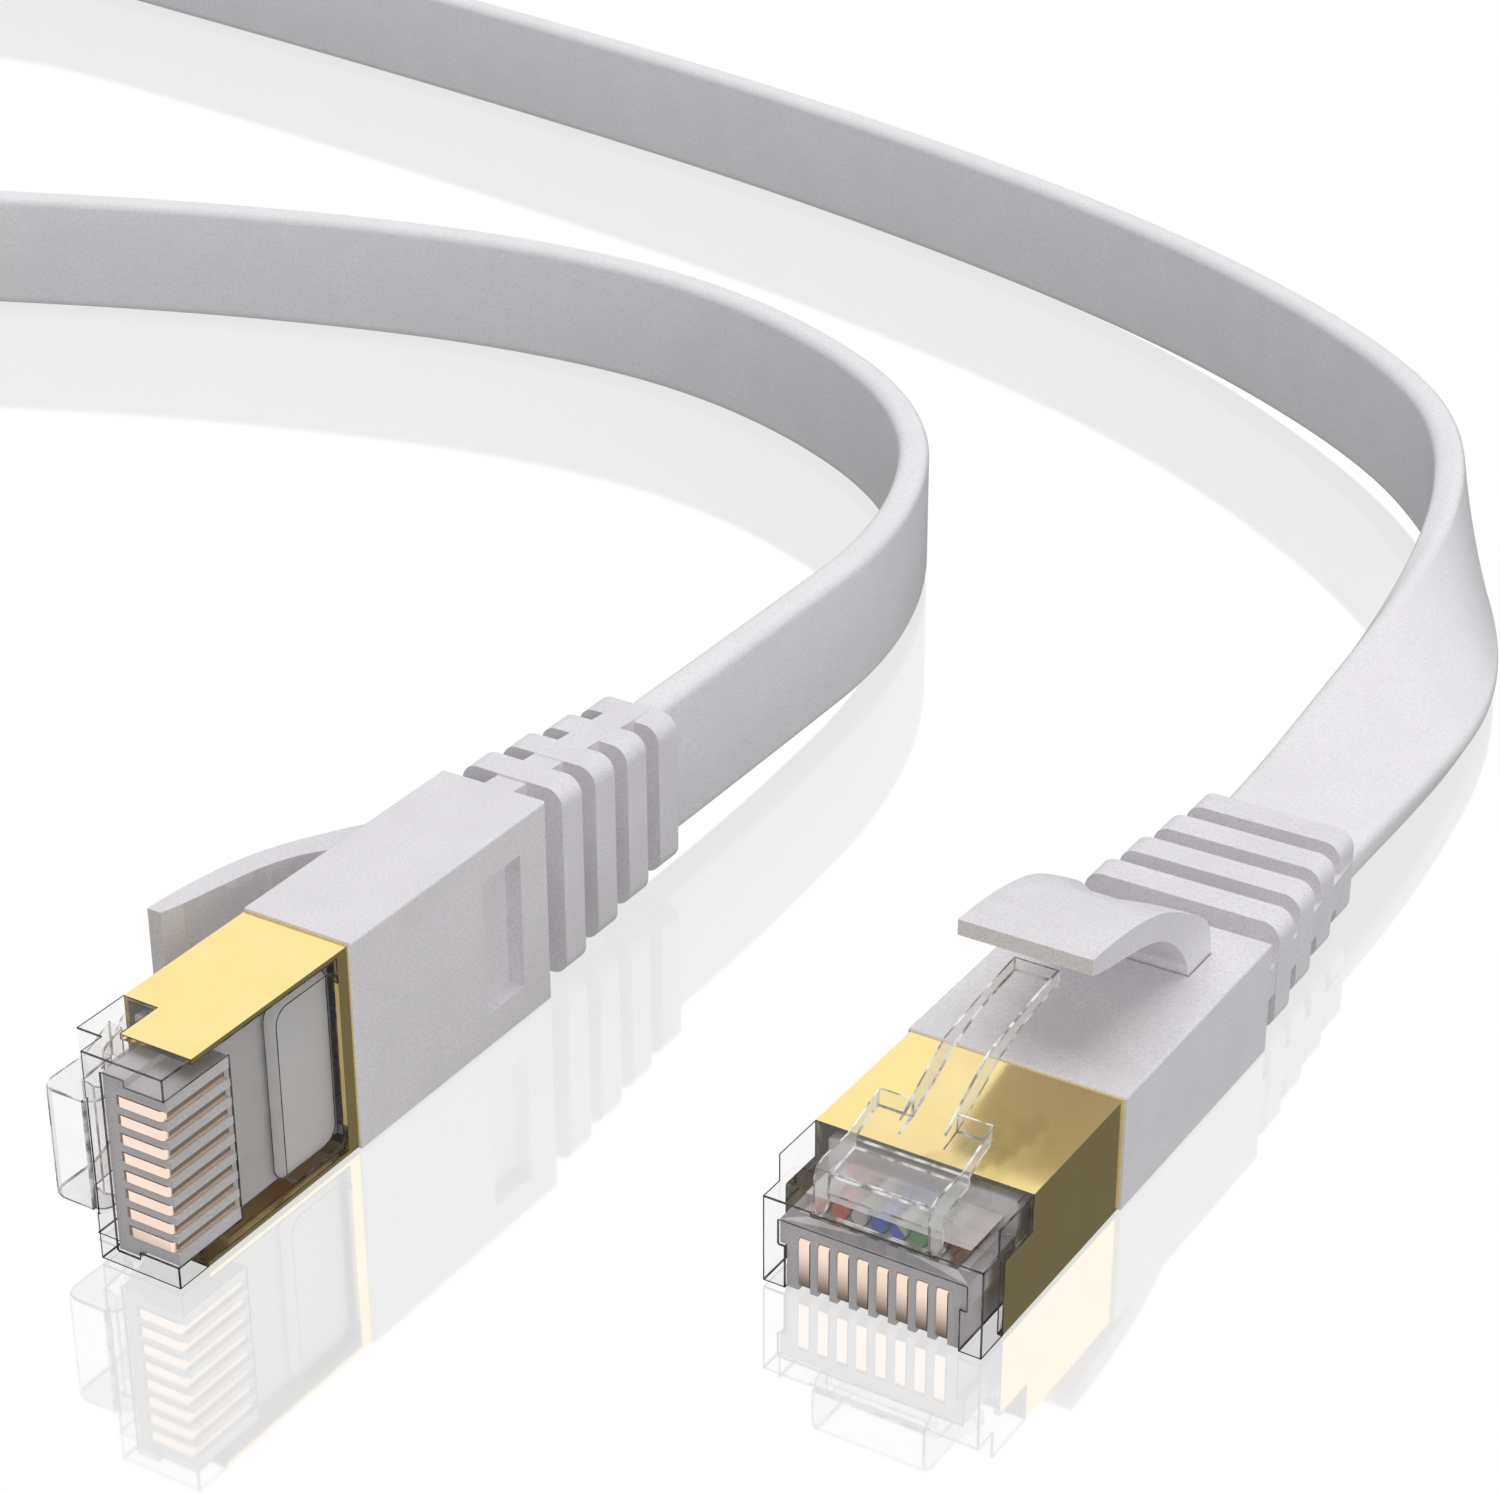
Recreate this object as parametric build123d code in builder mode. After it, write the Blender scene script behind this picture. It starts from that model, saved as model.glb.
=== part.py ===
"""Flat ethernet patch cable: two eight-contact plugs, each with a strain-relief boot and a
latch guard, on one length of flat cable.  Millimetres, +Z up, resting on Z = 0.

Plug A lies on its side and plug B lies on its contact face, both with their noses towards -Y.
Each plug is drawn in its own frame, a plane whose origin is at the front face of its boot:
x runs across the contacts, y runs back along the cable and z runs from the contact face to the
latch.  Sizes called along are measured from the boot's front face, positive towards the nose.
"""
import math
import os

from build123d import *

# ---- where the two plugs lie ----
PLUG_FRAMES = {
    "a": Plane(origin=(-10.84, -15.75, 6.0), x_dir=(0, 0, 1), z_dir=(-1, 0, 0)),
    "b": Plane(origin=(18.0, -0.75, 0.15), x_dir=(1, 0, 0), z_dir=(0, 0, 1)),
}

# ---- plug housing ----
plug_width = 11.7
body_height = 6.31          # contact face to latch face
body_front = 12.51          # where the full height ends
nose_height = 4.816
nose_front = 13.955
neck = {"across": 9.8, "depth": 6.0, "low": 0.9, "high": 5.4}
cavity = {"across": 10.1, "front": 9.3, "low": 1.0, "high": 5.6}
window = {"across": 10.1, "rear": 0.9, "front": 5.7, "depth": 0.8, "corner": 0.9}
pocket = {"across": 6.5, "rear": 9.5, "front": 12.52, "floor": 5.5}
channel = {"across": 8.8, "front": 12.5, "low": 3.75, "high": 4.65}

# ---- metal shield ----
shield_gauge = 0.25
shield_front_high = 9.164   # front edge of the latch-side plate
shield_front_low = 11.859   # front edge of the lower part of the side walls
shield_step = 4.204
shield_strap = 0.9          # strap across the contact face, just ahead of the boot

# ---- contacts, comb and conductors ----
contact_count = 8
contact_pitch = 1.05
contact_gauge = 0.56
contact_low = 0.2
contact_high = 3.05
contact_rear = 9.45
contact_front = 13.85
prong_top = 3.76
prong_length = 0.6
prong_places = (10.1, 12.1)
comb_rear = 9.25
comb_front = 13.8
comb_top = 3.75
comb_bar_low = 2.4
comb_bar_across = 10.0
comb_teeth_across = 9.26
comb_gap = 0.02             # room between the comb and its opening
comb_slot = 0.62
comb_slot_top = 3.1
wire_radius = 0.42
wire_rear = -3.0
wire_front = 12.4
wire_height = 4.2
wire_rear_pitch = 0.95
insert = {"across": 10.0, "rear": 3.2, "front": 9.2, "low": 3.4, "high": 5.5}
wire_colours = ("white_orange", "orange", "white_green", "blue",
                "white_blue", "green", "white_brown", "brown")

# ---- latch: a lever hinged over the nose ----
latch_axis = (13.28, 4.95)
latch_root_radius = 0.62
latch_seat_radius = 0.70
latch_half_width = 3.07
latch_tail_half_width = 1.22
latch_front = 14.05

# ---- boot, with its ribbed strain relief ----
boot_half_width = 6.0
boot_low = -0.15
boot_high = 6.46
boot_length = 16.68
relief_length = 30.56       # rear face of the last rib
rib_length = 1.85
rib_pitch = 3.42
rib_count = 4
rib_corner = 1.0
rib_half_width = (5.65, 4.6)    # first and last rib
rib_top = (6.46, 5.92)
rib_bottom = (0.05, 0.7)
spine_low = 2.3
spine_high = 4.15
boot_window = {"across": 7.94, "near": 10.9, "far": 14.25, "depth": 1.0}

# ---- tongue over the latch ----
tongue_axis = (-12.85, 6.9)
tongue_root_radius = 1.37
tongue_seat_radius = 1.45
tongue_half_width = 3.65
tongue_side_room = 0.1
scoop_radius = 4.65
scoop_axis = ((-10.5, 15.8), (-15.8, 11.4))   # the scoop is a groove that deepens rearwards
scoop_offset = -0.25

# ---- flat cable ----
cable_width = 8.8
cable_gauge = 2.0
jacket_width = 8.0          # inside the boot
jacket_gauge = 1.2
jacket_height = 3.2         # middle of the cable above the contact face
section_step = 4.0          # between two sections of a lead

# ---- the coil of spare cable, two strands thick over its last third of a turn ----
coil_centre = (-185.0, 73.0)
coil_radius = 47.5
coil_start = -58.0          # direction of its first point, in degrees, seen from above
coil_pitch = 3.2            # from one turn to the next
coil_overlap = 120.0
coil_bottom = 0.6
coil_middle = coil_bottom + cable_width / 2
tie_gauge = 0.5
tie_width = 6.0
tie_room = 0.15


def from_start(degrees, radius, height):
    """A point round the coil's centre, in the object's frame."""
    turn = math.radians(degrees)
    return (coil_centre[0] + radius * math.cos(turn), coil_centre[1] + radius * math.sin(turn), height)


def exit_point(plug):
    """Middle of the cable where it leaves the last rib of a boot."""
    return tuple(plug.from_local_coords((0, relief_length, jacket_height)))


# Each lead runs from its boot to the coil.
route_a = [
    exit_point(PLUG_FRAMES["a"]),
    (-14.04, 26, 6.0),
    (-15.2, 47, 5.0),
    (-24.4, 65, 4.6),
    (-45, 75.7, 4.5),
    (-65.3, 76.6, 4.5),
    (-89.4, 70.3, 4.5),
    (-113.3, 60.1, 4.5),
    (-137.8, 46.5, coil_middle),
    from_start(coil_start, coil_radius, coil_middle),
]
route_b = [
    exit_point(PLUG_FRAMES["b"]),
    (18, 40, 3.35),
    (16.9, 59, 4.2),
    (10.5, 75, 6.0),
    (-2.2, 89, 5.4),
    (-26.7, 104, 4.6),
    (-61.6, 115.5, 4.5),
    (-99.5, 123.6, 4.5),
    (-138.6, 130.2, 4.5),
    (-171, 134.5, 4.7),
    (-186, 131.8, 8.0),
    from_start(104, 53.5, 12.4),
    from_start(125, 46.2, 12.4),
    from_start(146, 44.2, 10.0),
    from_start(165, 44.4, 6.2),
    from_start(182, coil_radius - coil_pitch, coil_middle),
]
first_twist = 55.0          # lead B turns from flat to on edge over this length
flat_stretch = (14.0, 34.0, 66.0, 92.0)  # from the coil: where it lies flat to cross over a turn


def side_plane(plug, across=0.0):
    """Plane along a plug: x back along the cable, y towards the latch."""
    origin = plug.from_local_coords((across, 0, 0))
    return Plane(origin=origin, x_dir=plug.y_dir, z_dir=plug.x_dir)


def front_plane(plug, along):
    """Plane across a plug, facing its nose: x across the contacts, y towards the latch."""
    origin = plug.from_local_coords((0, -along, 0))
    return Plane(origin=origin, x_dir=plug.x_dir, z_dir=-plug.y_dir)


def block(plug, across, along, height, mode=Mode.ADD):
    """A box in a plug's frame, centred across it, with (rear, front) and (low, high)."""
    middle = ((along[0] + along[1]) / -2, (height[0] + height[1]) / 2)
    with Locations(plug * Location((0, middle[0], middle[1]))):
        Box(across, along[1] - along[0], height[1] - height[0], mode=mode)


def side_profile(plug, points, half_width, mode=Mode.ADD):
    """Extrude an outline of (along, height) points across a plug, the same each side."""
    with BuildSketch(side_plane(plug)) as profile:
        with BuildLine():
            Polyline([(-along, height) for along, height in points], close=True)
        make_face()
    extrude(profile.sketch, amount=half_width, both=True, mode=mode)


def side_disc(plug, centre, radius, half_width, mode=Mode.ADD):
    """A cylinder across a plug about a point (along, height)."""
    with BuildSketch(side_plane(plug)) as disc:
        with Locations((-centre[0], centre[1])):
            Circle(radius)
    extrude(disc.sketch, amount=half_width, both=True, mode=mode)


def spread(index, pitch):
    """Place across the plug of one of the contacts or conductors."""
    return (index - (contact_count - 1) / 2) * pitch


def make_shield(plug):
    """Metal wrap round the rear of the housing, open over the window."""
    inner_across = plug_width - 2 * shield_gauge
    inner_high = body_height - shield_gauge
    beyond = 1.0
    with BuildPart() as shield:
        block(plug, plug_width, (0, shield_front_high), (0, body_height))
        block(plug, plug_width, (0, shield_front_low), (0, shield_step))
        block(plug, inner_across, (shield_strap, shield_front_low + beyond), (-beyond, inner_high),
              mode=Mode.SUBTRACT)
        block(plug, inner_across, (-beyond, shield_front_low), (shield_gauge, inner_high), mode=Mode.SUBTRACT)
    return shield.part


def make_housing(plug, shield):
    """Clear moulded body with its nose step, its neck inside the boot and its pockets."""
    cut = Mode.SUBTRACT
    beyond = 1.0
    with BuildPart() as housing:
        block(plug, plug_width, (0, body_front), (0, body_height))
        block(plug, plug_width, (0, nose_front), (0, nose_height))
        block(plug, neck["across"], (-neck["depth"], 0), (neck["low"], neck["high"]))
        add(shield, mode=cut)
        block(plug, cavity["across"], (0.5, cavity["front"]), (cavity["low"], cavity["high"]), mode=cut)
        block(plug, jacket_width + 0.6, (-neck["depth"], 0.5), (spine_low, prong_top + 0.4), mode=cut)
        block(plug, channel["across"], (comb_rear, channel["front"]), (channel["low"], channel["high"]),
              mode=cut)
        block(plug, comb_teeth_across + 2 * comb_gap, (comb_rear, nose_front + beyond),
              (-beyond, comb_top), mode=cut)
        block(plug, comb_bar_across + 2 * comb_gap, (comb_rear, nose_front + beyond),
              (comb_bar_low - comb_gap, comb_top), mode=cut)
        block(plug, pocket["across"], (pocket["rear"], pocket["front"]), (pocket["floor"], body_height),
              mode=cut)
        side_disc(plug, latch_axis, latch_seat_radius, pocket["across"] / 2, mode=cut)
        with BuildSketch(plug) as recess:
            with Locations((0, -(window["rear"] + window["front"]) / 2)):
                RectangleRounded(window["across"], window["front"] - window["rear"], window["corner"])
        extrude(recess.sketch, amount=window["depth"], mode=cut)
    return housing.part


def make_comb(plug):
    """Holder between the contacts, with a slot for each of them."""
    with BuildPart() as comb:
        block(plug, comb_teeth_across, (comb_rear, comb_front), (comb_gap, comb_top))
        block(plug, comb_bar_across, (comb_rear, comb_front), (comb_bar_low, comb_top))
        for index in range(contact_count):
            place = side_plane(plug, spread(index, contact_pitch))
            with BuildSketch(place) as slot:
                with Locations((-(comb_rear + comb_front) / 2, comb_slot_top / 2)):
                    Rectangle(comb_front - comb_rear, comb_slot_top)
                with Locations((-(prong_places[0] + prong_places[1] + prong_length) / 2, comb_top / 2)):
                    Rectangle(prong_places[1] - prong_places[0] + 2 * prong_length, comb_top)
            extrude(slot.sketch, amount=comb_slot / 2, both=True, mode=Mode.SUBTRACT)
    return comb.part


def make_contact(plug, index):
    """Flat blade with a rounded front corner and two prongs that pierce its conductor."""
    with BuildPart() as contact:
        with BuildSketch(side_plane(plug, spread(index, contact_pitch))):
            with Locations((-(contact_rear + contact_front) / 2, (contact_low + contact_high) / 2)):
                blade = Rectangle(contact_front - contact_rear, contact_high - contact_low)
            fillet(blade.vertices().group_by(Axis.X)[0], radius=0.3)
            with Locations([(-place - prong_length / 2, (contact_low + prong_top) / 2)
                            for place in prong_places]):
                Rectangle(prong_length, prong_top - contact_low)
        extrude(amount=contact_gauge / 2, both=True)
    return contact.part


def make_insert(plug):
    """Block that keeps the eight conductors side by side."""
    with BuildPart() as load_bar:
        block(plug, insert["across"], (insert["rear"], insert["front"]), (insert["low"], insert["high"]))
        with BuildSketch(front_plane(plug, insert["rear"])) as holes:
            with Locations([(spread(index, contact_pitch), wire_height) for index in range(contact_count)]):
                Circle(wire_radius + 0.03)
        extrude(holes.sketch, amount=insert["front"] - insert["rear"], mode=Mode.SUBTRACT)
    return load_bar.part


def make_wire(plug, index):
    """Insulated conductor, from the end of the jacket to the nose."""
    rear = spread(index, wire_rear_pitch)
    front = spread(index, contact_pitch)
    with BuildPart() as wire:
        with BuildLine(plug):
            FilletPolyline(
                (rear, -wire_rear, jacket_height),
                (rear, -wire_rear / 2, jacket_height),
                (front, wire_rear, wire_height),
                (front, -wire_front, wire_height),
                radius=1.5,
            )
        with BuildSketch(front_plane(plug, wire_rear)):
            with Locations((rear, jacket_height)):
                Circle(wire_radius)
        sweep()
    return wire.part


def make_jacket_end(plug):
    """The end of the cable's jacket, gripped inside the boot."""
    with BuildPart() as jacket:
        block(plug, jacket_width, (-relief_length, wire_rear),
              (jacket_height - jacket_gauge / 2, jacket_height + jacket_gauge / 2))
    return jacket.part


def make_boot(plug):
    """Moulded boot: a box round the neck, then a spine with four ribs."""
    cut = Mode.SUBTRACT
    with BuildPart() as boot:
        block(plug, 2 * boot_half_width, (-boot_length, 0), (boot_low, boot_high))
        for index in range(rib_count):
            share = index / (rib_count - 1)
            half = rib_half_width[0] + share * (rib_half_width[1] - rib_half_width[0])
            top = rib_top[0] + share * (rib_top[1] - rib_top[0])
            bottom = rib_bottom[0] + share * (rib_bottom[1] - rib_bottom[0])
            rear = -relief_length + (rib_count - 1 - index) * rib_pitch
            with BuildSketch(front_plane(plug, rear)):
                with Locations((0, (top + bottom) / 2)):
                    RectangleRounded(2 * half, top - bottom, rib_corner)
            extrude(amount=rib_length)
        spine = []
        for along, half in ((-boot_length, rib_half_width[0]), (-relief_length, rib_half_width[1])):
            with BuildSketch(front_plane(plug, along)) as section:
                with Locations((0, (spine_low + spine_high) / 2)):
                    Rectangle(2 * half, spine_high - spine_low)
            spine.append(section.sketch)
        loft(spine)
        block(plug, neck["across"] + 0.1, (-neck["depth"], 0), (neck["low"] - 0.2, neck["high"] + 0.2), mode=cut)
        block(plug, jacket_width, (-relief_length, 0),
              (jacket_height - jacket_gauge / 2, jacket_height + jacket_gauge / 2), mode=cut)
        block(plug, boot_window["across"], (-boot_window["far"], -boot_window["near"]),
              (boot_low, boot_low + boot_window["depth"]), mode=cut)
        side_disc(plug, tongue_axis, tongue_seat_radius, tongue_half_width + tongue_side_room, mode=cut)
    return boot.part


def make_latch(plug):
    """Latch lever: root on its hinge, shoulder that catches in the jack, and a narrow tail."""
    shoulder = [
        (latch_front, 4.95), (latch_front, 6.85), (13.85, 7.35), (13.3, 7.57), (11.0, 7.57),
        (10.1, 7.8), (8.05, 8.48), (8.17, 7.56), (9.4, 7.3), (10.3, 6.9), (10.3, 6.4),
        (12.62, 6.17), (12.62, 5.9), (12.8, 5.3), (12.72, 4.95),
    ]
    tail = [
        (9.6, 7.9), (8.1, 8.79), (5.2, 10.3), (2.0, 10.73), (0.1, 10.95), (-1.8, 11.13),
        (-1.9, 10.35), (-0.35, 10.24), (1.75, 10.0), (4.0, 9.4), (6.3, 8.3), (8.17, 7.56), (9.6, 7.25),
    ]
    with BuildPart() as latch:
        side_profile(plug, shoulder, latch_half_width)
        side_profile(plug, tail, latch_tail_half_width)
        side_disc(plug, latch_axis, latch_root_radius, latch_half_width)
    return latch.part


def make_tongue(plug):
    """Springy tongue that rises from the boot and covers the latch's tail."""
    with BuildPart() as tongue:
        with BuildSketch(side_plane(plug)) as profile:
            with BuildLine():
                outer = Spline((0.45, 13.17), (4.1, 12.85), (8.5, 11.72), (12.0, 9.8), (13.5, 8.7),
                               (14.1, 7.45))
                inner = Spline((0.45, 12.3), (5.2, 11.2), (8.6, 10.0), (10.1, 8.85), (10.9, 7.95),
                               (11.49, 7.05))
                Line(outer @ 0, inner @ 0)
                Line(inner @ 1, (12.85, 6.9))
                Line((12.85, 6.9), outer @ 1)
            make_face()
        extrude(profile.sketch, amount=tongue_half_width, both=True)
        front, rear = [plug.from_local_coords((scoop_offset, -along, height)) for along, height in scoop_axis]
        with BuildSketch(Plane(origin=front, z_dir=rear - front)) as scoop:
            Circle(scoop_radius)
        extrude(scoop.sketch, amount=2 * boot_length, both=True, mode=Mode.SUBTRACT)
        side_disc(plug, tongue_axis, tongue_root_radius, tongue_half_width)
    return tongue.part


def smooth_step(value):
    """0 below 0, 1 above 1 and a smooth rise between."""
    value = min(max(value, 0.0), 1.0)
    return value * value * (3 - 2 * value)


def twist_a(travelled, left):
    """Lead A stands on its edge all the way."""
    return 90.0


def twist_b(travelled, left):
    """Lead B leaves its boot flat, stands up on its edge and lies flat again over the coil."""
    turned_up = smooth_step(travelled / first_twist)
    start, flat_from, flat_to, end = flat_stretch
    lying = smooth_step((left - start) / (flat_from - start)) - smooth_step((left - flat_to) / (end - flat_to))
    return 90.0 * (turned_up + lying)


def make_lead(name, points, twist):
    """One uncoiled stretch of the cable, a flat section carried along straight runs and arcs."""
    runs = [Vector(*after) - Vector(*before) for before, after in zip(points, points[1:])]
    radii = []
    for before, after in zip(runs, runs[1:]):
        turn = math.radians(before.get_angle(after))
        radii.append(0.45 * min(before.length, after.length) / math.tan(turn / 2))
    print(name, "radii", [round(radius, 1) for radius in radii])
    with BuildLine() as route:
        FilletPolyline(*points, radius=radii)
    path = route.wires()[0]
    if (path @ 0 - Vector(*points[0])).length > 1:
        raise ValueError("the path runs the other way")
    steps = math.ceil(path.length / section_step)
    with BuildPart() as lead:
        for step in range(steps + 1):
            share = step / steps
            forward = path % share
            side = forward.cross(Vector(0, 0, 1)).normalized()
            up = side.cross(forward)
            tilt = math.radians(twist(share * path.length, (1 - share) * path.length))
            across = side * math.cos(tilt) - up * math.sin(tilt)
            with BuildSketch(Plane(origin=path @ share, x_dir=across, z_dir=forward)):
                SlotOverall(cable_width, cable_gauge)
        loft(ruled=True)
    section = (cable_width - cable_gauge) * cable_gauge + math.pi * cable_gauge ** 2 / 4
    print(name, "length", round(path.length, 1), "volume / (section x length)",
          round(lead.part.volume / (section * path.length), 3))
    return lead.part


def band(centre, radius, start, turn, gauge):
    """A stretch of the coil seen from above, going clockwise from a direction."""
    rear = radius - gauge / 2
    front = radius + gauge / 2
    with BuildSketch() as ring:
        with BuildLine():
            outer = CenterArc(centre, front, start, -turn)
            inner = CenterArc(centre, rear, start, -turn)
            Line(outer @ 0, inner @ 0)
            Line(outer @ 1, inner @ 1)
        make_face()
    return ring.sketch


def make_coil():
    """The spare cable on its edge: half turns, each half a pitch smaller than the one before."""
    shift = coil_pitch / 2
    away = math.radians(coil_start)
    second_centre = (coil_centre[0] - shift * math.cos(away), coil_centre[1] - shift * math.sin(away))
    both_gauge = coil_pitch + cable_gauge
    with BuildPart() as coil:
        with BuildSketch(Plane.XY.offset(coil_bottom)):
            add(band(coil_centre, coil_radius, coil_start, 180, cable_gauge))
            add(band(second_centre, coil_radius - shift, coil_start - 180, 180, cable_gauge))
            add(band(coil_centre, coil_radius - shift, coil_start, coil_overlap, both_gauge))
        extrude(amount=cable_width)
    return coil.part


def make_tie():
    """Strap round both strands of the coil."""
    direction = math.radians(coil_start - coil_overlap / 2)
    outward = Vector(math.cos(direction), math.sin(direction), 0)
    middle = Vector(*coil_centre, coil_middle) + outward * (coil_radius - coil_pitch / 2)
    inner_across = coil_pitch + cable_gauge + 2 * tie_room
    inner_high = cable_width + tie_gauge / 5
    with BuildPart() as tie:
        with BuildSketch(Plane(origin=middle, x_dir=outward, z_dir=outward.cross(Vector(0, 0, 1)))):
            Rectangle(inner_across + 2 * tie_gauge, inner_high + 2 * tie_gauge)
            Rectangle(inner_across, inner_high, mode=Mode.SUBTRACT)
        extrude(amount=tie_width / 2, both=True)
    return tie.part


def write(part, name):
    """Label a finished piece and write its STEP file."""
    part.label = name
    export_step(part, f"parts/{name}.step")


os.makedirs("parts", exist_ok=True)
for side, plug_frame in PLUG_FRAMES.items():
    shield_part = make_shield(plug_frame)
    write(shield_part, f"shield_{side}")
    write(make_housing(plug_frame, shield_part), f"housing_{side}")
    write(make_comb(plug_frame), f"comb_{side}")
    write(make_insert(plug_frame), f"wire_insert_{side}")
    write(make_jacket_end(plug_frame), f"jacket_end_{side}")
    write(make_boot(plug_frame), f"boot_{side}")
    write(make_latch(plug_frame), f"latch_{side}")
    write(make_tongue(plug_frame), f"tongue_{side}")
    for number, colour in enumerate(wire_colours):
        write(make_contact(plug_frame, number), f"contact_{side}_{number + 1}")
        write(make_wire(plug_frame, number), f"wire_{side}_{colour}")
write(make_lead("cable_lead_a", route_a, twist_a), "cable_lead_a")
write(make_lead("cable_lead_b", route_b, twist_b), "cable_lead_b")
write(make_coil(), "cable_coil")
write(make_tie(), "coil_tie")
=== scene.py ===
"""Looks of a flat ethernet patch cable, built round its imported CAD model, with +Z up.

Named sizes are in millimetres, and MM turns them into metres, unless a comment says otherwise.
"""

import math

import bmesh
import bpy
from mathutils import Matrix, Vector


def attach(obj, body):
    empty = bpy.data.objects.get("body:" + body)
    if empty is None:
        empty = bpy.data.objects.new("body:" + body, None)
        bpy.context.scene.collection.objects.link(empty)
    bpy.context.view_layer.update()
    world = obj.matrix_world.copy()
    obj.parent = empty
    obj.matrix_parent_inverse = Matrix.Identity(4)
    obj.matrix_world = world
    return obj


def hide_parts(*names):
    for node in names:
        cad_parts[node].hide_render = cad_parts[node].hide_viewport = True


MM = 0.001

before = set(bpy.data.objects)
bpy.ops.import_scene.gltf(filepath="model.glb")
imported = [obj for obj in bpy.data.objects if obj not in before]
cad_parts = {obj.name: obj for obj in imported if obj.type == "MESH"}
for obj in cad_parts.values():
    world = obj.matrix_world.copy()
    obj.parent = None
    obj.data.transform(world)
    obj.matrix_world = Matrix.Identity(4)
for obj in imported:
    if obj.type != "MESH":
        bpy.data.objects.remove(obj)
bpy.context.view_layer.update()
scene = bpy.context.scene

# ---------------------------------------------------------------- camera
CAMERA_PLACE = Vector((85.32, -133.76, 103.34)) * MM
CAMERA_AZIMUTH = 31.8       # degrees, as are the next two
CAMERA_DOWN = 28.11
CAMERA_ROLL = -0.17
CAMERA_LENS = 87.25
SENSOR_WIDTH = 36.0
CAMERA_NEAR = 10 * MM


def make_camera():
    data = bpy.data.cameras.new("camera")
    data.lens = CAMERA_LENS
    data.sensor_width = SENSOR_WIDTH
    data.sensor_fit = "HORIZONTAL"
    data.clip_start = CAMERA_NEAR
    camera = bpy.data.objects.new("camera", data)
    turn = Matrix.Rotation(math.radians(CAMERA_AZIMUTH), 4, "Z")
    tip = Matrix.Rotation(math.radians(90 - CAMERA_DOWN), 4, "X")
    roll = Matrix.Rotation(math.radians(CAMERA_ROLL), 4, "Z")
    camera.matrix_world = Matrix.Translation(CAMERA_PLACE) @ turn @ tip @ roll
    scene.collection.objects.link(camera)
    scene.camera = camera


make_camera()

# ---------------------------------------------------------------- small helpers


def make_object(name, mesh):
    thing = bpy.data.objects.new(name, mesh)
    scene.collection.objects.link(thing)
    return thing


def smooth_step(value):
    """0 below 0, 1 above 1, and an even ease between them."""
    value = min(max(value, 0.0), 1.0)
    return value * value * (3 - 2 * value)


def darker(colour, share):
    return tuple(channel * share for channel in colour)


class Nodes:
    """A material's node tree, with short calls for the nodes that the materials here use."""

    def __init__(self, name):
        self.material = bpy.data.materials.new(name)
        self.material.use_nodes = True
        self.tree = self.material.node_tree
        self.tree.nodes.clear()
        self.output = self.add("ShaderNodeOutputMaterial")
        self.place = self.add("ShaderNodeTexCoord").outputs["Object"]

    def add(self, kind, **values):
        node = self.tree.nodes.new(kind)
        for key, value in values.items():
            setattr(node, key, value)
        return node

    def link(self, source, target):
        self.tree.links.new(source, target)

    def noise(self, scale, detail=2.0):
        node = self.add("ShaderNodeTexNoise")
        node.inputs["Scale"].default_value = scale
        node.inputs["Detail"].default_value = detail
        self.link(self.place, node.inputs["Vector"])
        return node.outputs["Fac"]

    def ramp(self, source, low, high, spread=(0.35, 0.65)):
        """From low to high while the source goes through its spread."""
        node = self.add("ShaderNodeMapRange")
        node.inputs["From Min"].default_value = spread[0]
        node.inputs["From Max"].default_value = spread[1]
        node.inputs["To Min"].default_value = low
        node.inputs["To Max"].default_value = high
        self.link(source, node.inputs["Value"])
        return node.outputs["Result"]

    def mix(self, share, first, second):
        """Two colours mixed, each a tuple or a socket."""
        node = self.add("ShaderNodeMix", data_type="RGBA")
        self.link(share, node.inputs["Factor"])
        for socket, value in ((node.inputs["A"], first), (node.inputs["B"], second)):
            if isinstance(value, tuple):
                socket.default_value = (*value, 1.0)
            else:
                self.link(value, socket)
        return node.outputs["Result"]

    def bump(self, height, strength, depth):
        node = self.add("ShaderNodeBump")
        node.inputs["Strength"].default_value = strength
        node.inputs["Distance"].default_value = depth * MM
        self.link(height, node.inputs["Height"])
        return node.outputs["Normal"]

    def principled(self, **values):
        node = self.add("ShaderNodeBsdfPrincipled")
        for key, value in values.items():
            socket = node.inputs[key.replace("_", " ")]
            if isinstance(value, bpy.types.NodeSocket):
                self.link(value, socket)
            elif isinstance(value, tuple):
                socket.default_value = (*value, 1.0)
            else:
                socket.default_value = value
        return node.outputs["BSDF"]

    def blend_shaders(self, share, first, second):
        node = self.add("ShaderNodeMixShader")
        if isinstance(share, bpy.types.NodeSocket):
            self.link(share, node.inputs[0])
        else:
            node.inputs[0].default_value = share
        self.link(first, node.inputs[1])
        self.link(second, node.inputs[2])
        return node.outputs["Shader"]

    def finish(self, shader):
        self.link(shader, self.output.inputs["Surface"])
        return self.material


# ---------------------------------------------------------------- materials
# Scales of noise, in features per metre.
GRAIN = 9000.0          # the finest moulded texture
MOTTLE = 260.0          # slow unevenness of a moulded surface
BRUSHING = 5200.0       # fine lines in plated sheet
TARNISH = 420.0         # slow unevenness of plating
FLOW = 700.0            # flow marks in clear plastic
FLICKER = 1100.0        # painted light and dark along a polished edge
FUZZ = 5000.0           # loose fibres of the strap
WIRE_GRAIN = 6000.0     # skin of a conductor's insulation
# Scales of waves, about a third of the bands per metre.
WEAVE = 420.0           # threads of the strap
TRACER = 170.0          # stripe on a striped conductor
# Depths of bumps.
GRAIN_DEPTH = 0.03
PLATING_DEPTH = 0.01
SKIN_DEPTH = 0.02
FUZZ_DEPTH = 0.1
CLEAR_IOR = 1.6


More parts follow.
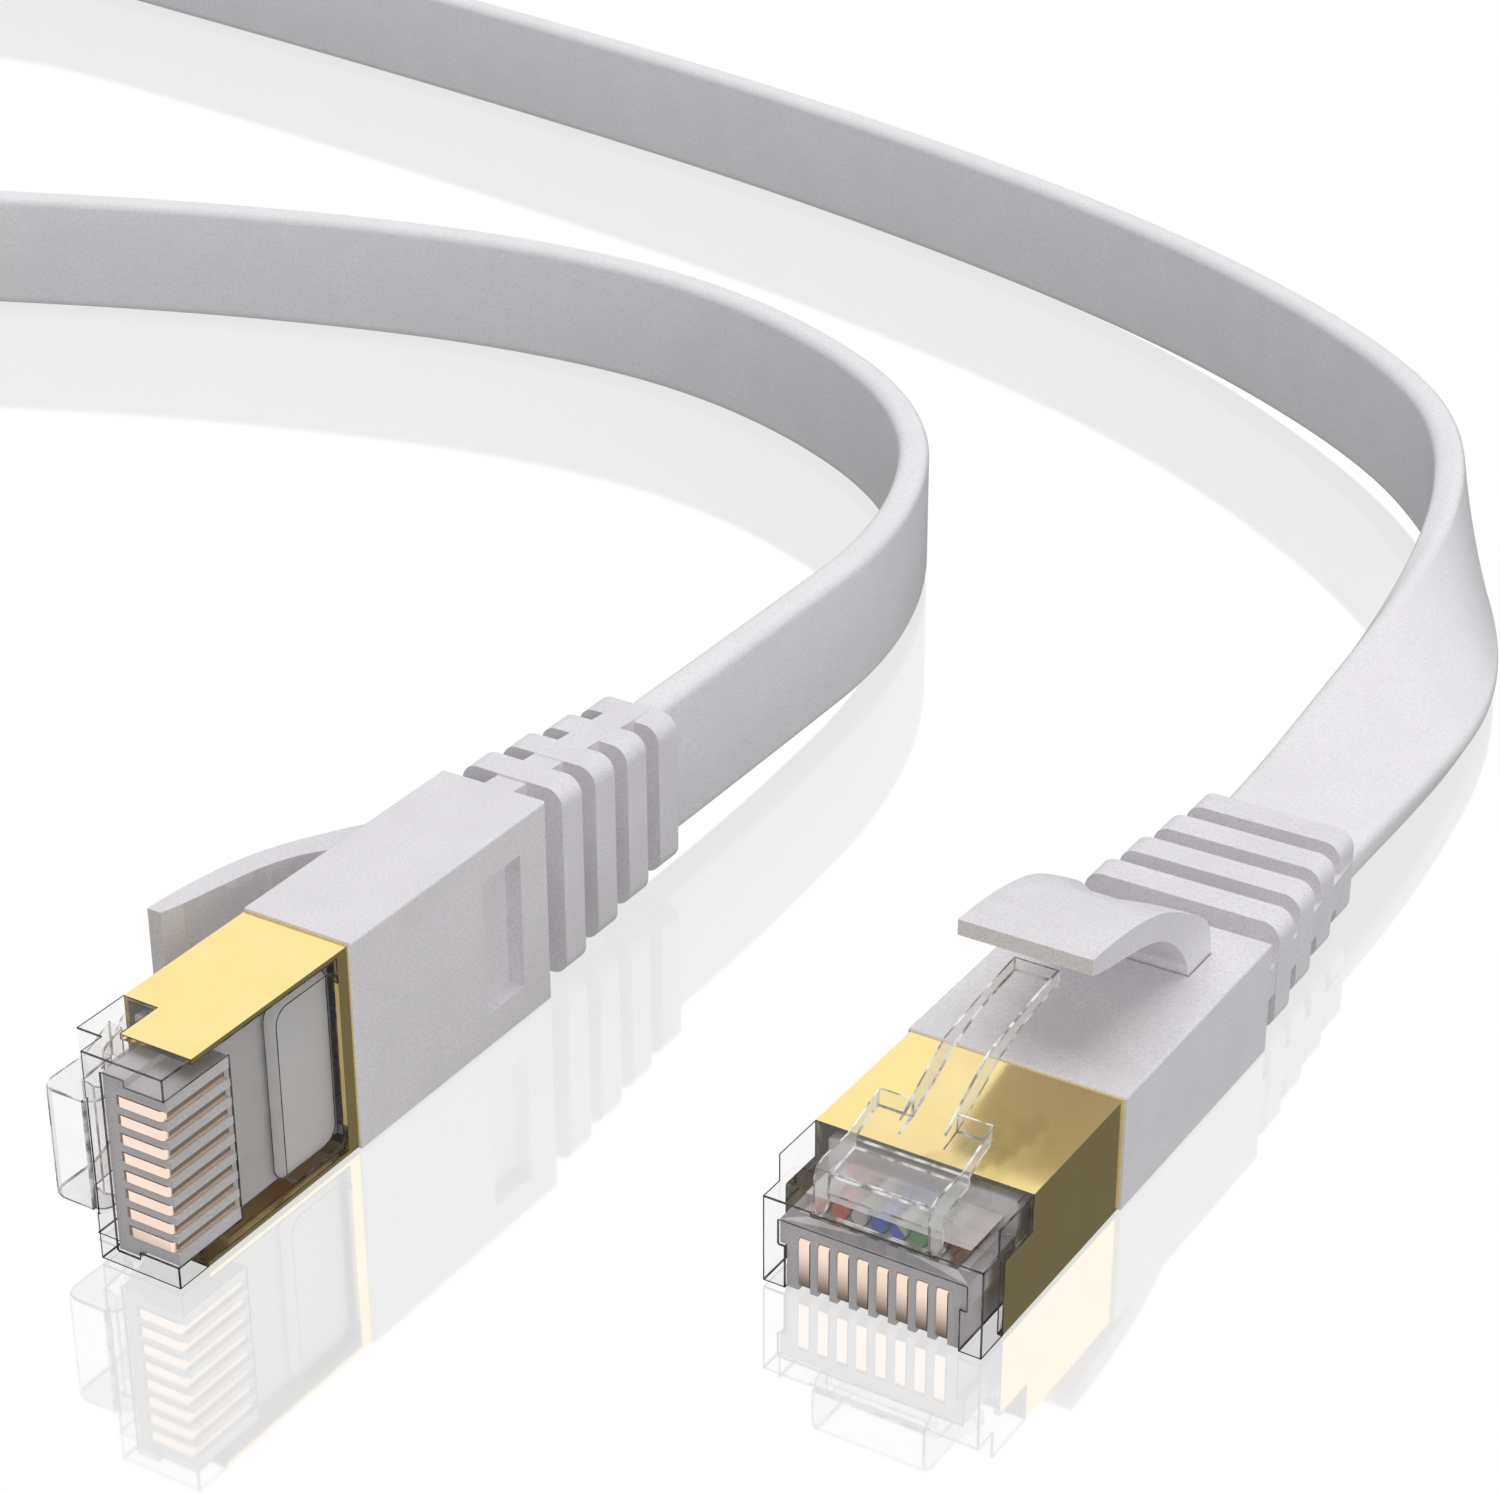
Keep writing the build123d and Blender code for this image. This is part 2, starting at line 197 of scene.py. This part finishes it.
def moulded_plastic(name, light, dark, roughness, grain_strength):
    """Opaque plastic with a fine spark-eroded grain and a slow unevenness."""
    nodes = Nodes(name)
    grain = nodes.noise(GRAIN, detail=3.0)
    mottle = nodes.noise(MOTTLE, detail=4.0)
    base = nodes.mix(nodes.ramp(mottle, 0.0, 1.0), light, dark)
    speckled = nodes.mix(nodes.ramp(grain, 0.0, 1.0, (0.42, 0.66)), base, darker(dark, 0.88))
    return nodes.finish(nodes.principled(
        Base_Color=speckled,
        Roughness=nodes.ramp(grain, roughness - 0.06, roughness + 0.08),
        Specular_IOR_Level=0.35,
        Normal=nodes.bump(grain, grain_strength, GRAIN_DEPTH),
    ))


def plated_metal(name, light, dark, roughness):
    """Plated sheet with a faint brushed unevenness."""
    nodes = Nodes(name)
    brushing = nodes.noise(BRUSHING)
    tarnish = nodes.noise(TARNISH, detail=4.0)
    return nodes.finish(nodes.principled(
        Base_Color=nodes.mix(nodes.ramp(tarnish, 0.0, 1.0), light, dark),
        Metallic=1.0,
        Roughness=nodes.ramp(tarnish, roughness - 0.03, roughness + 0.04),
        Normal=nodes.bump(brushing, 0.12, PLATING_DEPTH),
    ))


def clear_plastic(name, tint, gloss_roughness):
    """Clear moulded plastic: unbent see-through, faint flow marks, and a Fresnel gloss on its front."""
    nodes = Nodes(name)
    flow = nodes.noise(FLOW, detail=3.0)
    through = nodes.add("ShaderNodeBsdfTransparent")
    nodes.link(nodes.mix(nodes.ramp(flow, 0.0, 1.0), tint, darker(tint, 0.97)), through.inputs["Color"])
    gloss = nodes.principled(
        Base_Color=(0.9, 0.91, 0.92),
        Metallic=1.0,
        Roughness=nodes.ramp(flow, gloss_roughness, gloss_roughness + 0.03),
        Normal=nodes.bump(flow, 0.08, SKIN_DEPTH),
    )
    fresnel = nodes.add("ShaderNodeFresnel")
    fresnel.inputs["IOR"].default_value = CLEAR_IOR
    outside = nodes.add("ShaderNodeMapRange")
    outside.inputs["To Min"].default_value = 1.0
    outside.inputs["To Max"].default_value = 0.0
    nodes.link(nodes.add("ShaderNodeNewGeometry").outputs["Backfacing"], outside.inputs["Value"])
    share = nodes.add("ShaderNodeMath", operation="MULTIPLY")
    nodes.link(fresnel.outputs["Fac"], share.inputs[0])
    nodes.link(outside.outputs["Result"], share.inputs[1])
    return nodes.finish(nodes.blend_shaders(share.outputs[0], through.outputs["BSDF"], gloss))


def frost_or_painted_glare(name, base, share):
    """A frosted cover on clear plastic, opaque by the given share; as the latch's flank cover it is
    painted glare.
    """
    nodes = Nodes(name)
    grain = nodes.noise(GRAIN, detail=3.0)
    through = nodes.add("ShaderNodeBsdfTransparent")
    skin_or_glare = nodes.principled(
        Base_Color=nodes.mix(nodes.ramp(grain, 0.0, 1.0, (0.3, 0.7)), base, darker(base, 0.86)),
        Roughness=nodes.ramp(grain, 0.35, 0.5),
        Normal=nodes.bump(grain, 0.25, SKIN_DEPTH),
    )
    cover = nodes.ramp(grain, share - 0.06, share + 0.06, (0.3, 0.7))
    return nodes.finish(nodes.blend_shaders(cover, through.outputs["BSDF"], skin_or_glare))


def painted_edge_line(name, dark, light):
    """Painted refraction line: a colour standing for the dark or bright line that a polished edge of clear
    plastic draws by bending the light.
    """
    nodes = Nodes(name)
    flicker = nodes.noise(FLICKER, detail=3.0)
    return nodes.finish(nodes.principled(
        Base_Color=nodes.mix(nodes.ramp(flicker, 0.0, 1.0, (0.42, 0.58)), dark, light),
        Roughness=nodes.ramp(flicker, 0.1, 0.2),
        Normal=nodes.bump(flicker, 0.1, SKIN_DEPTH),
    ))


def woven_fabric(name, light, dark):
    """Hook-and-loop strap: a fine weave with fuzz."""
    nodes = Nodes(name)
    fuzz = nodes.noise(FUZZ, detail=4.0)
    weave = nodes.add("ShaderNodeTexWave", bands_direction="Z")
    weave.inputs["Scale"].default_value = WEAVE
    weave.inputs["Distortion"].default_value = 1.5
    nodes.link(nodes.place, weave.inputs["Vector"])
    woven = nodes.mix(nodes.ramp(weave.outputs["Fac"], 0.0, 1.0, (0.2, 0.8)), dark, light)
    return nodes.finish(nodes.principled(
        Base_Color=nodes.mix(nodes.ramp(fuzz, 0.0, 0.4), woven, light),
        Roughness=nodes.ramp(fuzz, 0.75, 0.95),
        Sheen_Weight=0.3,
        Normal=nodes.bump(fuzz, 0.6, FUZZ_DEPTH),
    ))


def insulation(name, base, stripe=None):
    """Glossy insulation, with a spiral tracer stripe on the paler wire of a pair."""
    nodes = Nodes(name)
    grain = nodes.noise(WIRE_GRAIN)
    colour = nodes.mix(nodes.ramp(grain, 0.0, 1.0), base, darker(base, 0.9))
    if stripe is not None:
        wave = nodes.add("ShaderNodeTexWave", bands_direction="DIAGONAL")
        wave.inputs["Scale"].default_value = TRACER
        nodes.link(nodes.place, wave.inputs["Vector"])
        colour = nodes.mix(nodes.ramp(wave.outputs["Fac"], 0.0, 1.0, (0.62, 0.7)), colour, stripe)
    return nodes.finish(nodes.principled(
        Base_Color=colour,
        Roughness=nodes.ramp(grain, 0.28, 0.36),
        Normal=nodes.bump(grain, 0.1, SKIN_DEPTH),
    ))


# Colours, as linear light.
WHITE = (0.78, 0.77, 0.75)
WIRE_COLOURS = {"orange": (0.86, 0.16, 0.03), "green": (0.1, 0.5, 0.08),
                "blue": (0.04, 0.12, 0.72), "brown": (0.24, 0.1, 0.05)}

BOOT = moulded_plastic("boot_plastic", (0.87, 0.85, 0.885), (0.82, 0.80, 0.83), 0.5, 0.35)
JACKET = moulded_plastic("cable_jacket", (0.92, 0.90, 0.93), (0.88, 0.86, 0.89), 0.34, 0.2)
COMB = moulded_plastic("comb_plastic", (0.70, 0.67, 0.68), (0.62, 0.60, 0.61), 0.45, 0.25)
GOLD = plated_metal("gold_plating", (1.0, 0.82, 0.36), (0.98, 0.79, 0.33), 0.14)
CONTACT = plated_metal("contact_plating", (1.0, 0.81, 0.68), (0.98, 0.77, 0.63), 0.2)
CLEAR = clear_plastic("clear_plastic", (0.985, 0.98, 0.98), 0.02)
# Painted shade: near-black lines on the housing's edges, standing for the dark lines that refraction
# draws.
EDGE_PAINTED_SHADE = painted_edge_line("clear_plastic_edge_painted_shade", (0.02, 0.02, 0.02), (0.12, 0.11, 0.1))
# Painted highlight and painted shade: white and dark flicker on the latch's edges, standing for glints and
# refraction lines.
GLINT_AND_SHADE = painted_edge_line("clear_plastic_glint_and_shade", (0.3, 0.29, 0.27), (1.0, 1.0, 1.0))
FROST = frost_or_painted_glare("frost_or_painted_glare", (0.93, 0.91, 0.91), 0.6)
# Painted highlight: a whitish cover on the latch's flanks, standing for the glare they catch.
FLANK_GLARE = frost_or_painted_glare("clear_plastic_flank_glare", (0.95, 0.95, 0.95), 0.45)
LOAD_BAR = moulded_plastic("load_bar_plastic", (0.80, 0.78, 0.78), (0.72, 0.70, 0.70), 0.4, 0.3)
TIE = woven_fabric("tie_fabric", (0.78, 0.77, 0.76), (0.52, 0.51, 0.5))

# ---------------------------------------------------------------- the flat cable
CABLE_WIDTH = 8.8
CABLE_GAUGE = 2.0
EDGE_RADIUS = 0.7
EDGE_STEPS = 6              # flats in each rounded corner
COIL_CENTRE = (-185.0, 73.0)
COIL_RADIUS = 47.5
COIL_PITCH = 2.4            # how much the radius shrinks in a turn
COIL_START = -58.0          # degrees, as are the next two
COIL_SWEEP = 480.0          # how far the cable goes round
COIL_STEP = 24.0            # between two control points
COIL_MIDDLE = 5.0           # height of the cable's middle in the coil
SPLINE_ORDER = 3
SPLINE_STEPS = 24           # points between two control points
PATH_STEP = 0.2             # no two points of the path are closer


def round_coil(degrees, radius, height):
    """A point round the coil's centre."""
    turn = math.radians(degrees)
    return (COIL_CENTRE[0] + radius * math.cos(turn), COIL_CENTRE[1] + radius * math.sin(turn), height)


# The same points as in the CAD model, each route from its boot to the coil.
ROUTE_A = [
    (-14.04, 14.81, 6.0),
    (-14.04, 26, 6.0),
    (-15.2, 47, 5.0),
    (-24.4, 65, 4.6),
    (-45, 75.7, 4.5),
    (-65.3, 76.6, 4.5),
    (-89.4, 70.3, 4.5),
    (-113.3, 60.1, 4.5),
    (-137.8, 46.5, COIL_MIDDLE),
]
ROUTE_B = [
    (18, 29.81, 3.35),
    (18, 40, 3.35),
    (16.9, 59, 4.2),
    (10.5, 75, 6.0),
    (-2.2, 89, 5.4),
    (-26.7, 104, 4.6),
    (-61.6, 115.5, 4.5),
    (-99.5, 123.6, 4.5),
    (-138.6, 130.2, 4.5),
    (-171, 134.5, 4.7),
    (-186, 131.8, 8.0),
    round_coil(104, 53.5, 12.4),
    round_coil(125, 46.2, 12.4),
    round_coil(146, 44.2, 10.0),
    round_coil(165, 44.4, 6.2),
]
FIRST_TWIST = 55.0          # from boot B it turns from flat to on edge over this length
FLAT_STRETCH = (14.0, 34.0, 66.0, 92.0)     # from the coil, where it lies flat to cross over a turn


def cable_route():
    """Every control point of the cable's spline, from boot A through the coil to boot B.

    The spline touches its control polygon halfway along each side, so the coil's points lie a
    little outside its radius.
    """
    steps = round(COIL_SWEEP / COIL_STEP)
    coil = []
    for step in range(steps + 1):
        turned = step * COIL_STEP
        radius = (COIL_RADIUS - COIL_PITCH * turned / 360) / math.cos(math.radians(COIL_STEP / 2))
        coil.append(round_coil(COIL_START - turned, radius, COIL_MIDDLE))
    return [Vector(point) * MM for point in ROUTE_A + coil + ROUTE_B[::-1]]


def spline_path(points):
    """Points along the NURBS spline of a route, close together."""
    curve = bpy.data.curves.new("route", "CURVE")
    curve.dimensions = "3D"
    curve.resolution_u = SPLINE_STEPS
    spline = curve.splines.new("NURBS")
    spline.points.add(len(points) - 1)
    for control, point in zip(spline.points, points):
        control.co = (*point, 1.0)
    spline.order_u = SPLINE_ORDER
    spline.use_endpoint_u = True
    holder = make_object("route", curve)
    mesh = bpy.data.meshes.new_from_object(holder)
    path = [vertex.co.copy() for vertex in mesh.vertices]
    bpy.data.objects.remove(holder)
    bpy.data.meshes.remove(mesh)
    kept = [path[0]]
    for point in path[1:]:
        if (point - kept[-1]).length > PATH_STEP * MM:
            kept.append(point)
    return kept


def cable_section():
    """Outline of the flat cable as (across, through) points, a flat with rounded edges."""
    outline = []
    for side in (1, -1):
        for corner in (1, -1):
            across = side * (CABLE_WIDTH / 2 - EDGE_RADIUS)
            through = side * corner * -(CABLE_GAUGE / 2 - EDGE_RADIUS)
            first = (-90 if corner == 1 else 0) + (0 if side == 1 else 180)
            for step in range(EDGE_STEPS + 1):
                angle = math.radians(first + 90 / EDGE_STEPS * step)
                outline.append((across + EDGE_RADIUS * math.cos(angle),
                                through + EDGE_RADIUS * math.sin(angle)))
    return outline


def cable_tilt(travelled, coil_end, total):
    """Angle of the cable's width from flat: 90 is on its edge, and 180 is flat again."""
    from_coil = travelled - coil_end
    start, flat_from, flat_to, end = FLAT_STRETCH
    turned_over = smooth_step((from_coil - start) / (flat_from - start))
    turned_over -= smooth_step((from_coil - flat_to) / (end - flat_to))
    return 90.0 * (smooth_step((total - travelled) / FIRST_TWIST) + turned_over)


def cable_mesh(path):
    """The cable's section swept along its path and turned as it lies."""
    travelled = [0.0]
    for before, after in zip(path, path[1:]):
        travelled.append(travelled[-1] + (after - before).length / MM)
    inner_radius = COIL_RADIUS - COIL_PITCH * COIL_SWEEP / 360
    inner_end = Vector(round_coil(COIL_START - COIL_SWEEP, inner_radius, COIL_MIDDLE)) * MM
    nearest = min(range(len(path)), key=lambda index: (path[index] - inner_end).length)
    section = cable_section()
    mesh = bmesh.new()
    rings = []
    for index, point in enumerate(path):
        forward = (path[min(index + 1, len(path) - 1)] - path[max(index - 1, 0)]).normalized()
        side = forward.cross(Vector((0, 0, 1))).normalized()
        up = side.cross(forward)
        tilt = math.radians(cable_tilt(travelled[index], travelled[nearest], travelled[-1]))
        top = up * math.sin(tilt) + side * math.cos(tilt)
        face = top.cross(forward)
        rings.append([mesh.verts.new(point + (top * across + face * through) * MM)
                      for across, through in section])
    for before, after in zip(rings, rings[1:]):
        for corner in range(len(section)):
            following = (corner + 1) % len(section)
            quad = mesh.faces.new((before[corner], before[following], after[following], after[corner]))
            quad.smooth = True
    mesh.faces.new(rings[0][::-1])
    mesh.faces.new(rings[-1])
    bmesh.ops.recalc_face_normals(mesh, faces=mesh.faces)
    data = bpy.data.meshes.new("flat_cable")
    mesh.to_mesh(data)
    mesh.free()
    return data


def make_cable():
    path = spline_path(cable_route())
    cable = make_object("flat_cable", cable_mesh(path))
    cable.data.materials.append(JACKET)
    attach(cable, "cable")
    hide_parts("cable_lead_a", "cable_coil", "cable_lead_b")


make_cable()

# ---------------------------------------------------------------- plug pieces with bevelled edges, and painted lines along clear edges
SHARP = math.radians(25)    # faces that turn more than this meet in a sharp edge
FLAT = math.radians(0.5)    # faces that turn less than this are one face
WELD = 0.001                # points closer than this are one
# The middle of each plug's contact face, level with the front end of its boot.
PLUG_ORIGIN = {"a": (-10.84, -15.75, 6.0), "b": (18.0, -0.75, 0.15)}

# Zones of a housing, as (low, high) across, along and high in its plug.
CAVITY = ((-5.2, 5.2), (0.4, 9.4), (0.7, 5.65))
CHANNEL_ROOF = ((-4.5, 4.5), (9.2, 12.6), (4.5, 4.8))
INNER_EDGES = ((-5.3, 5.3), (5.9, 13.9), (0.3, math.inf))

# The section of a strip that carries a painted edge line, as (inward, sideways) shares of its gauge, just
# proud of its edge.
LINE_SECTION = ((-0.15, 0.0), (0.6, 0.75), (0.6, -0.75))
FLANK_NORMAL = 0.9          # how squarely a latch's flank faces sideways to get the painted glare
# Material slots: clear body, painted edge line, and frosted cover or painted glare.
BODY_SLOT, LINE_SLOT, SKIN_OR_GLARE_SLOT = range(3)


def in_plug(side, point):
    """A point as seen by its plug: across the contacts, towards the nose, towards the latch, in mm."""
    x, y, z = point / MM
    left, back, low = PLUG_ORIGIN[side]
    if side == "a":
        return z - low, back - y, left - x
    return x - left, back - y, z - low


def inside(point, zone):
    return all(low < value < high for value, (low, high) in zip(point, zone))


def tidy_mesh(node):
    """The node's mesh joined up, with its flat faces whole, and its sharp edges."""
    mesh = bmesh.new()
    mesh.from_mesh(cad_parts[node].data)
    bmesh.ops.remove_doubles(mesh, verts=mesh.verts, dist=WELD * MM)
    bmesh.ops.dissolve_limit(mesh, angle_limit=FLAT, verts=mesh.verts, edges=mesh.edges)
    sharp = [edge for edge in mesh.edges if len(edge.link_faces) == 2 and edge.calc_face_angle() > SHARP]
    return mesh, sharp


def finish_piece(mesh, name, node, body, materials, largest_curved=1.5):
    """Turn a mesh into a piece that stands for one CAD node and rides on its body.

    Faces smaller than largest_curved square millimetres belong to rounded stretches.
    """
    for edge in mesh.edges:
        edge.smooth = len(edge.link_faces) == 2 and edge.calc_face_angle() < SHARP
    for face in mesh.faces:
        face.smooth = face.calc_area() < largest_curved * MM * MM
    data = bpy.data.meshes.new(name)
    mesh.to_mesh(data)
    mesh.free()
    piece = make_object(name, data)
    for material in materials:
        piece.data.materials.append(material)
    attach(piece, body)
    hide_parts(node)


def soft_piece(node, body, width, shortest, largest_curved):
    """A moulded piece, its longer sharp edges broken by a small bevel."""
    mesh, sharp = tidy_mesh(node)
    sharp = [edge for edge in sharp if edge.calc_length() > shortest * MM]
    bmesh.ops.bevel(mesh, geom=sharp, offset=width * MM, offset_type="OFFSET", segments=2, profile=0.5,
                    affect="EDGES", clamp_overlap=True)
    finish_piece(mesh, f"soft_{node}", node, body, [BOOT], largest_curved)


def edge_strip(mesh, start, end, inward, gauge):
    """A closed three-sided strip along one edge, from start to end; returns its faces."""
    sideways = (end - start).normalized().cross(inward)
    near, far = ([mesh.verts.new(point + (inward * deep + sideways * wide) * gauge * MM)
                  for deep, wide in LINE_SECTION] for point in (start, end))
    faces = []
    for index in range(len(LINE_SECTION)):
        following = (index + 1) % len(LINE_SECTION)
        faces.append(mesh.faces.new((near[index], near[following], far[following], far[index])))
    return faces + [mesh.faces.new(near[::-1]), mesh.faces.new(far)]


def clear_piece(node, body, gauge, painted_line_material, skin_or_glare):
    """A clear piece with painted refraction lines along its edges, and a rougher frosted cover in its
    cavity or painted glare on its flanks.
    """
    is_housing = node.startswith("housing")
    plug = node[-1]
    mesh, sharp = tidy_mesh(node)
    for face in mesh.faces:
        if is_housing:
            middle = in_plug(plug, face.calc_center_median())
            frosted_or_glare = inside(middle, CAVITY) or inside(middle, CHANNEL_ROOF)
        else:
            # A latch face turned squarely sideways gets the painted glare.
            frosted_or_glare = abs(face.normal.z if plug == "a" else face.normal.x) > FLANK_NORMAL
        face.material_index = SKIN_OR_GLARE_SLOT if frosted_or_glare else BODY_SLOT
    lines = []
    for edge in sharp:
        start, end = (vertex.co.copy() for vertex in edge.verts)
        if not (is_housing and inside(in_plug(plug, (start + end) / 2), INNER_EDGES)):
            inward = -(edge.link_faces[0].normal + edge.link_faces[1].normal).normalized()
            lines.append((start, end, inward))
    strips = []
    for start, end, inward in lines:
        strips += edge_strip(mesh, start, end, inward, gauge)
    bmesh.ops.recalc_face_normals(mesh, faces=strips)
    for strip in strips:
        strip.material_index = LINE_SLOT
    finish_piece(mesh, f"clear_{node}", node, body, [CLEAR, painted_line_material, skin_or_glare])


for side in "ab":
    soft_piece(f"boot_{side}", "cable", width=0.12, shortest=11.5, largest_curved=1.5)
    soft_piece(f"tongue_{side}", f"tongue_{side}", width=0.14, shortest=0.0, largest_curved=6.0)
    clear_piece(f"housing_{side}", "cable", gauge=0.07, painted_line_material=EDGE_PAINTED_SHADE, skin_or_glare=FROST)
    clear_piece(f"latch_{side}", f"latch_{side}", gauge=0.09, painted_line_material=GLINT_AND_SHADE, skin_or_glare=FLANK_GLARE)

# ---------------------------------------------------------------- materials on the CAD nodes that show


def paint(node, material):
    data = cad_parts[node].data
    data.materials.clear()
    data.materials.append(material)


def paint_plugs():
    plain = {"shield": GOLD, "comb": COMB, "wire_insert": LOAD_BAR, "jacket_end": JACKET}
    wires = {}
    for colour, base in WIRE_COLOURS.items():
        wires[colour] = insulation(f"wire_{colour}", base)
        wires[f"white_{colour}"] = insulation(f"wire_white_{colour}", WHITE, base)
    for side in "ab":
        for node, material in plain.items():
            paint(f"{node}_{side}", material)
        for number in range(1, 9):
            paint(f"contact_{side}_{number}", CONTACT)
        for colour, material in wires.items():
            paint(f"wire_{side}_{colour}", material)


paint_plugs()
paint("coil_tie", TIE)

# ---------------------------------------------------------------- floor, light and world
FLOOR_SIZE = 20.0           # metres
FLOOR_DROP = 0.05           # how far below the object's lowest point
FLOOR_MIRROR = 0.3          # share of the camera's view of the floor that is a mirror image
FLOOR_ROUGHNESS = 0.05
FLOOR_TO_MATT = 0.4         # how bright the floor is to matt surfaces
FLOOR_TO_GLOSS = 0.15       # how bright it is to glossy surfaces, away from the card
CARD_TO_GLOSS = 1.0         # how bright the card is to them
CARD_LEFT_EDGE = 30.5       # how far in front of zero the card starts, left of plug B
CARD_RIGHT_EDGE = 15.5      # the same in front of plug B
CARD_STEP = 3.0             # width over which the one becomes the other
CARD_FADE = 2.0             # width of the card's soft edge
WORLD_TO_MATT = 0.42        # how bright the surroundings are to matt surfaces
CLEAR_LAYERS = 32           # clear faces that a ray may pass


def make_floor():
    """White glossy table to the camera; to glossy surfaces dark, with a bright card by the noses."""
    nodes = Nodes("floor")
    white = nodes.add("ShaderNodeEmission")
    white.inputs["Strength"].default_value = 1.0
    gloss = nodes.add("ShaderNodeBsdfGlossy")
    gloss.inputs["Roughness"].default_value = FLOOR_ROUGHNESS
    gloss.inputs["Color"].default_value = (1, 1, 1, 1)
    seen = nodes.blend_shaders(FLOOR_MIRROR, white.outputs[0], gloss.outputs[0])

    split = nodes.add("ShaderNodeSeparateXYZ")
    nodes.link(nodes.place, split.inputs["Vector"])
    edge = nodes.ramp(split.outputs["X"], CARD_LEFT_EDGE * MM, CARD_RIGHT_EDGE * MM, (0.0, CARD_STEP * MM))
    past_edge = nodes.add("ShaderNodeMath", operation="ADD")
    nodes.link(split.outputs["Y"], past_edge.inputs[0])
    nodes.link(edge, past_edge.inputs[1])
    card = nodes.ramp(past_edge.outputs[0], CARD_TO_GLOSS, FLOOR_TO_GLOSS, (-CARD_FADE * MM, 0.0))

    ray = nodes.add("ShaderNodeLightPath")
    level = nodes.add("ShaderNodeMapRange")
    level.inputs["To Min"].default_value = FLOOR_TO_MATT
    nodes.link(card, level.inputs["To Max"])
    nodes.link(ray.outputs["Is Glossy Ray"], level.inputs["Value"])
    bounce = nodes.add("ShaderNodeEmission")
    nodes.link(level.outputs["Result"], bounce.inputs["Strength"])
    material = nodes.finish(nodes.blend_shaders(ray.outputs["Is Camera Ray"], bounce.outputs[0], seen))

    bpy.ops.mesh.primitive_plane_add(size=FLOOR_SIZE, location=(0, 0, -FLOOR_DROP * MM))
    floor = bpy.context.object
    floor.name = "floor"
    floor.data.materials.append(material)


def make_world():
    """Even white surroundings for the camera and gloss, and a dimmer fill for matt surfaces."""
    world = bpy.data.worlds.new("studio")
    scene.world = world
    world.use_nodes = True
    tree = world.node_tree
    tree.nodes.clear()
    output = tree.nodes.new("ShaderNodeOutputWorld")
    background = tree.nodes.new("ShaderNodeBackground")
    background.inputs["Color"].default_value = (1, 1, 1, 1)
    ray = tree.nodes.new("ShaderNodeLightPath")
    level = tree.nodes.new("ShaderNodeMapRange")
    level.inputs["To Min"].default_value = 1.0
    level.inputs["To Max"].default_value = WORLD_TO_MATT
    tree.links.new(ray.outputs["Is Diffuse Ray"], level.inputs["Value"])
    tree.links.new(level.outputs["Result"], background.inputs["Strength"])
    tree.links.new(background.outputs[0], output.inputs["Surface"])


def make_softbox(name, place, target, size, power):
    """A square area light that gloss doesn't mirror."""
    data = bpy.data.lights.new(name, "AREA")
    data.shape = "SQUARE"
    data.size = size
    data.energy = power
    light = bpy.data.objects.new(name, data)
    light.location = place
    light.rotation_euler = (Vector(target) - Vector(place)).to_track_quat("-Z", "Y").to_euler()
    light.visible_glossy = False
    scene.collection.objects.link(light)


make_floor()
make_world()
# Places and sizes in metres, power in watts.
make_softbox("top_light", place=(-0.05, 0.05, 0.9), target=(-0.02, 0.05, 0.0), size=0.8, power=4.3)
make_softbox("right_light", place=(0.7, -0.3, 0.25), target=(-0.02, 0.0, 0.0), size=0.5, power=1.7)
scene.view_settings.view_transform = "Standard"
scene.cycles.transparent_max_bounces = CLEAR_LAYERS
